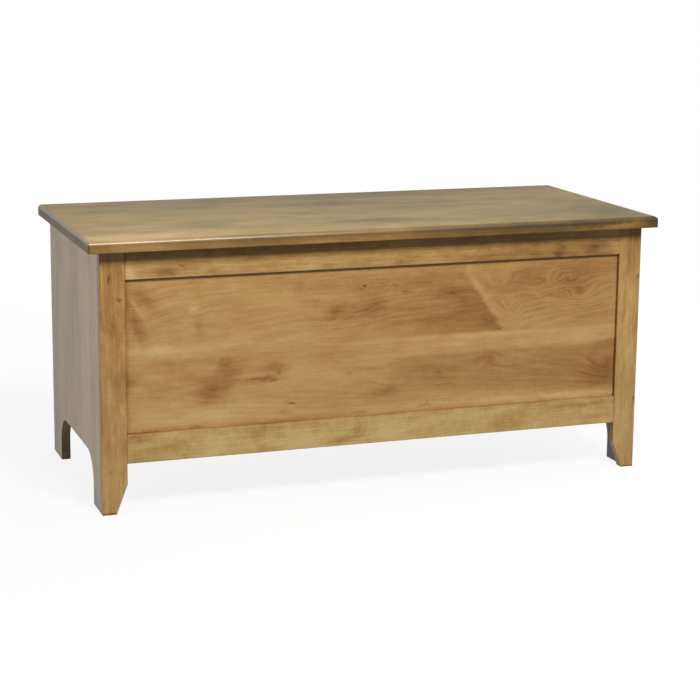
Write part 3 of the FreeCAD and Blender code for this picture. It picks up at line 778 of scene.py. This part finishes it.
metalNodes = {"brass": ["hinge_pins"] + [f"hinge_{where}_{part}_leaf"
                                          for where in ("left", "middle", "right")
                                          for part in ("case", "lid")],
              "steel": ["stay_studs", "stay_rivets"] + [f"stay_{side}_{part}"
                                                        for side in ("left", "right")
                                                        for part in ("bar", "lid_bracket",
                                                                     "stud_plate")]}


def dressMetal(made):
    for metal, nodes in metalNodes.items():
        for node in nodes:
            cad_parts[node].material_slots[0].material = made[metal]
    print("metal finished:", sum(len(nodes) for nodes in metalNodes.values()), "pieces")


# Sizes in millimetres. A cross recess is two slots at right angles.
screwBasics = {"head": 3.7, "headDepth": 1.9, "shank": 1.9, "tip": 0.3, "edge": 0.25}
screwKinds = {
    "slotted": {"slotLong": 9.0, "slotWide": 1.0, "slotDeep": 1.0, "cross": False},
    "crossed": {"slotLong": 4.2, "slotWide": 0.9, "slotDeep": 1.4, "cross": True},
}
screwGroups = {
    "hinge_screws_case": ("slotted", "brass", "case", "screw_brass"),
    "hinge_screws_lid": ("slotted", "brass", "lid", "screw_brass"),
    "stay_screws_case": ("crossed", "steel", "case", "screw_steel"),
    "stay_screws_lid": ("crossed", "steel", "lid", "screw_steel"),
    "cleat_screws": ("crossed", "steel", "case", "screw_steel"),
    "batten_screws": ("crossed", "steel", "lid", "screw_steel"),
}
screwSeed = 11
screwSides = 28
flatEnough = 0.999                  # a face this upright is an end of a cone
mergeGap = 0.000001
endShare = 0.45                     # past this much of its length, a screw's corner is at an end


def looseParts(node):
    # the corners of each separate solid in a CAD node
    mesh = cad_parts[node].data
    spots = [tuple(round(c, 6) for c in v.co) for v in mesh.vertices]
    leader = {s: s for s in spots}

    def find(s):
        while leader[s] != s:
            leader[s] = leader[leader[s]]
            s = leader[s]
        return s

    for face in mesh.polygons:
        first = find(spots[face.vertices[0]])
        for corner in face.vertices[1:]:
            leader[find(spots[corner])] = first
    groups = {}
    for s in leader:
        groups.setdefault(find(s), []).append(Vector(s))
    return sorted(groups.values(), key=lambda part: tuple(part[0]))


def offAxis(point, axis):
    return math.hypot(*(point[i] for i in range(3) if i != axis))


def screwPlaces(node):
    # middle of each screw's head, the way it points, and its length
    places = []
    for part in looseParts(node):
        low = Vector([min(p[i] for p in part) for i in range(3)])
        high = Vector([max(p[i] for p in part) for i in range(3)])
        middle, size = (low + high) / 2, high - low
        axis = max(range(3), key=lambda i: size[i])
        spread = {way: max(offAxis(p - middle, axis) for p in part
                           if (p[axis] - middle[axis]) * way > size[axis] * endShare)
                  for way in (-1, 1)}
        way = -1 if spread[-1] > spread[1] else 1
        head = middle.copy()
        head[axis] = high[axis] if way > 0 else low[axis]
        aim = Vector([-way if i == axis else 0 for i in range(3)])
        places.append((head, aim, size[axis]))
    return places


def screwTree(kind):
    tree = bpy.data.node_groups.new(kind + "Screws", "GeometryNodeTree")
    graph = Graph(tree)
    face = tree.interface
    face.new_socket("Geometry", in_out="INPUT", socket_type="NodeSocketGeometry")
    names = ["Head Radius", "Head Depth", "Shank Radius", "Tip Radius", "Edge", "Length",
             "Slot Length", "Slot Width", "Slot Depth"]
    for name in names:
        face.new_socket(name, in_out="INPUT", socket_type="NodeSocketFloat")
    face.new_socket("Cross", in_out="INPUT", socket_type="NodeSocketBool")
    face.new_socket("Seed", in_out="INPUT", socket_type="NodeSocketInt")
    face.new_socket("Finish", in_out="INPUT", socket_type="NodeSocketMaterial")
    face.new_socket("Geometry", in_out="OUTPUT", socket_type="NodeSocketGeometry")
    given = graph.node("NodeGroupInput").socket.node
    size = {name: Signal(graph, given.outputs[name])
            for name in names + ["Geometry", "Cross", "Seed", "Finish"]}

    def cone(low, high, tall, start):
        made = graph.node("GeometryNodeMeshCone", {"fill_type": "NGON"}, {
            "Vertices": screwSides, "Radius Bottom": low, "Radius Top": high, "Depth": tall})
        return graph.node("GeometryNodeTransform", None, {
            "Geometry": made, "Translation": graph.vector(0.0, 0.0, start)})

    def slot(wide, long):
        return graph.node("GeometryNodeMeshCube", None, {
            "Size": graph.vector(long, wide, size["Slot Depth"] * 2.0)})

    def compare(operation, first, second):
        return graph.node("FunctionNodeCompare", {"operation": operation}, {0: first, 1: second})

    def both(first, second):
        return graph.node("FunctionNodeBooleanMath", {"operation": "AND"}, {0: first, 1: second})

    def cut(mesh, cutter):
        return graph.node("GeometryNodeMeshBoolean", {"operation": "DIFFERENCE"},
                          {"Mesh 1": mesh, "Mesh 2": cutter})

    rim = cone(size["Head Radius"] - size["Edge"], size["Head Radius"], size["Edge"], 0.0)
    head = cone(size["Head Radius"], size["Shank Radius"], size["Head Depth"] - size["Edge"],
                size["Edge"])
    shankLength = size["Length"] - size["Head Depth"] - size["Shank Radius"] * 2.0
    shank = cone(size["Shank Radius"], size["Shank Radius"], shankLength, size["Head Depth"])
    point = cone(size["Shank Radius"], size["Tip Radius"], size["Shank Radius"] * 2.0,
                 size["Head Depth"] + shankLength)
    stacked = graph.node("GeometryNodeJoinGeometry")
    join = stacked.socket.node
    for piece in (rim, head, shank, point):
        graph.feed(join.inputs[0], piece)
    # the stacked cones meet face to face: delete those inner faces, then merge the rings
    upright = graph.maths("ABSOLUTE", graph.part(graph.node("GeometryNodeInputNormal"), "z"))
    height = graph.part(graph.node("GeometryNodeInputPosition"), "z")
    notTop = compare("GREATER_THAN", height, size["Edge"] * 0.5)
    notTip = compare("LESS_THAN", height, size["Length"] - size["Edge"] * 0.5)
    inner = both(compare("GREATER_THAN", upright, flatEnough), both(notTop, notTip))
    opened = graph.node("GeometryNodeDeleteGeometry", {"domain": "FACE"},
                       {"Geometry": stacked, "Selection": inner})
    whole = graph.node("GeometryNodeMergeByDistance", None,
                       {"Geometry": opened, "Distance": mergeGap})

    second = graph.node("GeometryNodeSwitch", {"input_type": "GEOMETRY"}, {
        "Switch": size["Cross"], "False": slot(size["Slot Width"], size["Slot Length"]),
        "True": slot(size["Slot Length"], size["Slot Width"])})
    driven = cut(cut(whole, slot(size["Slot Width"], size["Slot Length"])), second)

    spin = graph.node("FunctionNodeRandomValue", {"data_type": "FLOAT"}, {
        2: 0.0, 3: 2 * math.pi, "Seed": size["Seed"]}, output=1)
    turned = graph.node("FunctionNodeEulerToRotation", None, {0: graph.vector(0.0, 0.0, spin)})
    aim = graph.node("GeometryNodeInputNamedAttribute", {"data_type": "FLOAT_VECTOR"},
                     {"Name": "aim"})
    facing = graph.node("FunctionNodeAlignRotationToVector", {"axis": "Z"},
                        {"Rotation": turned, "Vector": aim})
    placed = graph.node("GeometryNodeInstanceOnPoints", None, {
        "Points": size["Geometry"], "Instance": driven, "Rotation": facing})
    real = graph.node("GeometryNodeRealizeInstances", None, {0: placed})
    finished = graph.node("GeometryNodeSetMaterial", None,
                          {"Geometry": real, "Material": size["Finish"]})
    graph.node("NodeGroupOutput", None, {0: finished})
    return tree


def plainMesh(host, name):
    # what the host's modifiers make, as an object with no modifier
    evaluated = host.evaluated_get(bpy.context.evaluated_depsgraph_get())
    mesh = bpy.data.meshes.new_from_object(evaluated)
    host.modifiers.clear()
    bpy.data.objects.remove(host)
    return newObject(name, mesh)


def makeScrews(finishes):
    trees = {kind: screwTree(kind) for kind in screwKinds}
    for order, (node, (kind, metal, body, slotName)) in enumerate(screwGroups.items()):
        values = {**screwBasics, **screwKinds[kind]}
        places = screwPlaces(node)
        points = bpy.data.meshes.new(node + "Points")
        points.from_pydata([head for head, aim, length in places], [], [])
        aims = points.attributes.new("aim", "FLOAT_VECTOR", "POINT")
        aims.data.foreach_set("vector", [c for head, aim, length in places for c in aim])
        host = newObject(node + "Host", points)
        modifier = host.modifiers.new("screws", "NODES")
        modifier.node_group = trees[kind]
        sizes = {"Head Radius": values["head"], "Head Depth": values["headDepth"],
                 "Shank Radius": values["shank"], "Tip Radius": values["tip"],
                 "Edge": values["edge"], "Length": places[0][2] * metre,
                 "Slot Length": values["slotLong"], "Slot Width": values["slotWide"],
                 "Slot Depth": values["slotDeep"]}
        identifiers = {item.name: item.identifier for item in trees[kind].interface.items_tree
                       if item.in_out == "INPUT"}
        for name, size in sizes.items():
            modifier[identifiers[name]] = size / metre
        modifier[identifiers["Cross"]] = values["cross"]
        modifier[identifiers["Seed"]] = screwSeed + order
        modifier[identifiers["Finish"]] = finishes[metal]
        screws = plainMesh(host, node + "_driven")
        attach(screws, body)
        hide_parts(node)
        print("screws:", node, len(places))


studio = {
    "floorSize": 60.0,
    "floorColour": tint(106, 105, 104),     # what it throws back at the object
    "floorPale": tint(244, 244, 243),       # what the camera sees
    "floorShown": 0.13,             # how much of the floor's own shade the camera sees
    "clearFrom": 0.9, "clearBy": 2.6,
    "skyLight": 0.08,
}
# Each softbox: place, aim, width and height, watts, and whether polish mirrors it.
softboxes = {
    "key": ((0.10, -2.75, 3.15), (0.0, 0.0, 0.3), (1.5, 1.0), 163.0, True),
    "left": ((-3.20, -0.90, 1.30), (-0.58, 0.0, 0.3), (1.6, 1.2), 22.0, False),
    "back": ((1.30, 3.30, 1.70), (0.2, 0.0, 0.3), (2.0, 1.4), 80.0, False),
    "right": ((3.30, 0.50, 1.40), (0.58, 0.0, 0.3), (1.6, 1.2), 45.0, False),
}
cameraPlace = {"at": (-1.3041, -3.6946, 1.1199), "yaw": -19.652, "down": 10.867, "roll": 0.564,
               "lens": 95.10, "sensor": 36.0, "shift": -0.08}


def seenDirectly(graph):
    # one for rays from the camera and for what metal, lacquer and glass mirror
    rays = graph.node("ShaderNodeLightPath").socket.node.outputs
    seen = graph.maths("MAXIMUM", Signal(graph, rays["Is Camera Ray"]),
                       Signal(graph, rays["Is Glossy Ray"]))
    return graph.maths("MAXIMUM", seen, Signal(graph, rays["Is Transmission Ray"]))


def makeFloor():
    half = studio["floorSize"] / 2
    mesh = bpy.data.meshes.new("floor")
    mesh.from_pydata([(-half, -half, 0), (half, -half, 0), (half, half, 0), (-half, half, 0)],
                     [], [(0, 1, 2, 3)])
    floor = newObject("floor", mesh)
    material, graph = newMaterial("floorPaper")
    away = graph.node("ShaderNodeVectorMath", {"operation": "LENGTH"}, {
        0: graph.node("ShaderNodeTexCoord", output="Object")}, output="Value")
    clear = graph.smooth(away, studio["clearFrom"], studio["clearBy"],
                         1.0 - studio["floorShown"], 1.0)
    shade = graph.mix(seenDirectly(graph), studio["floorColour"], studio["floorPale"])
    paper = graph.node("ShaderNodeBsdfDiffuse", None, {"Color": shade})
    white = graph.node("ShaderNodeEmission", None, {"Color": (1, 1, 1, 1), "Strength": 1.0})
    mixed = graph.node("ShaderNodeMixShader", None,
                       {0: clear * seenDirectly(graph), 1: paper, 2: white})
    graph.node("ShaderNodeOutputMaterial", None, {"Surface": mixed})
    mesh.materials.append(material)


def makeWorld():
    world = bpy.data.worlds.new("studio")
    bpy.context.scene.world = world
    world.use_nodes = True
    graph = Graph(world.node_tree)
    strength = seenDirectly(graph) * (1.0 - studio["skyLight"]) + studio["skyLight"]
    sky = graph.node("ShaderNodeBackground", None, {"Color": (1, 1, 1, 1), "Strength": strength})
    graph.node("ShaderNodeOutputWorld", None, {"Surface": sky})


def makeLights():
    for name, (place, aim, size, watts, mirrored) in softboxes.items():
        light = bpy.data.lights.new(name, "AREA")
        light.shape = "RECTANGLE"
        light.size, light.size_y = size
        light.energy = watts
        lamp = newObject(name, light)
        at = Vector(place)
        lamp.location = at
        lamp.rotation_euler = (Vector(aim) - at).to_track_quat("-Z", "Y").to_euler()
        lamp.visible_camera = False
        lamp.visible_glossy = mirrored


def makeCamera():
    values = cameraPlace
    data = bpy.data.cameras.new("camera")
    data.sensor_width = values["sensor"]
    data.lens = values["lens"]
    data.shift_y = values["shift"]
    camera = newObject("camera", data)
    camera.matrix_world = (Matrix.Translation(values["at"])
                           @ Matrix.Rotation(math.radians(values["yaw"]), 4, "Z")
                           @ Matrix.Rotation(math.radians(90 - values["down"]), 4, "X")
                           @ Matrix.Rotation(math.radians(values["roll"]), 4, "Z"))
    bpy.context.scene.camera = camera


finishes = {metal: metalMaterial(metal) for metal in metals}
dressWood()
dressMetal(finishes)
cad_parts["lid_bumpers"].material_slots[0].material = rubberMaterial()
makeScrews(finishes)
makeFloor()
makeWorld()
makeLights()
makeCamera()
bpy.context.scene.view_settings.view_transform = "Standard"
print("room, light and camera ready")
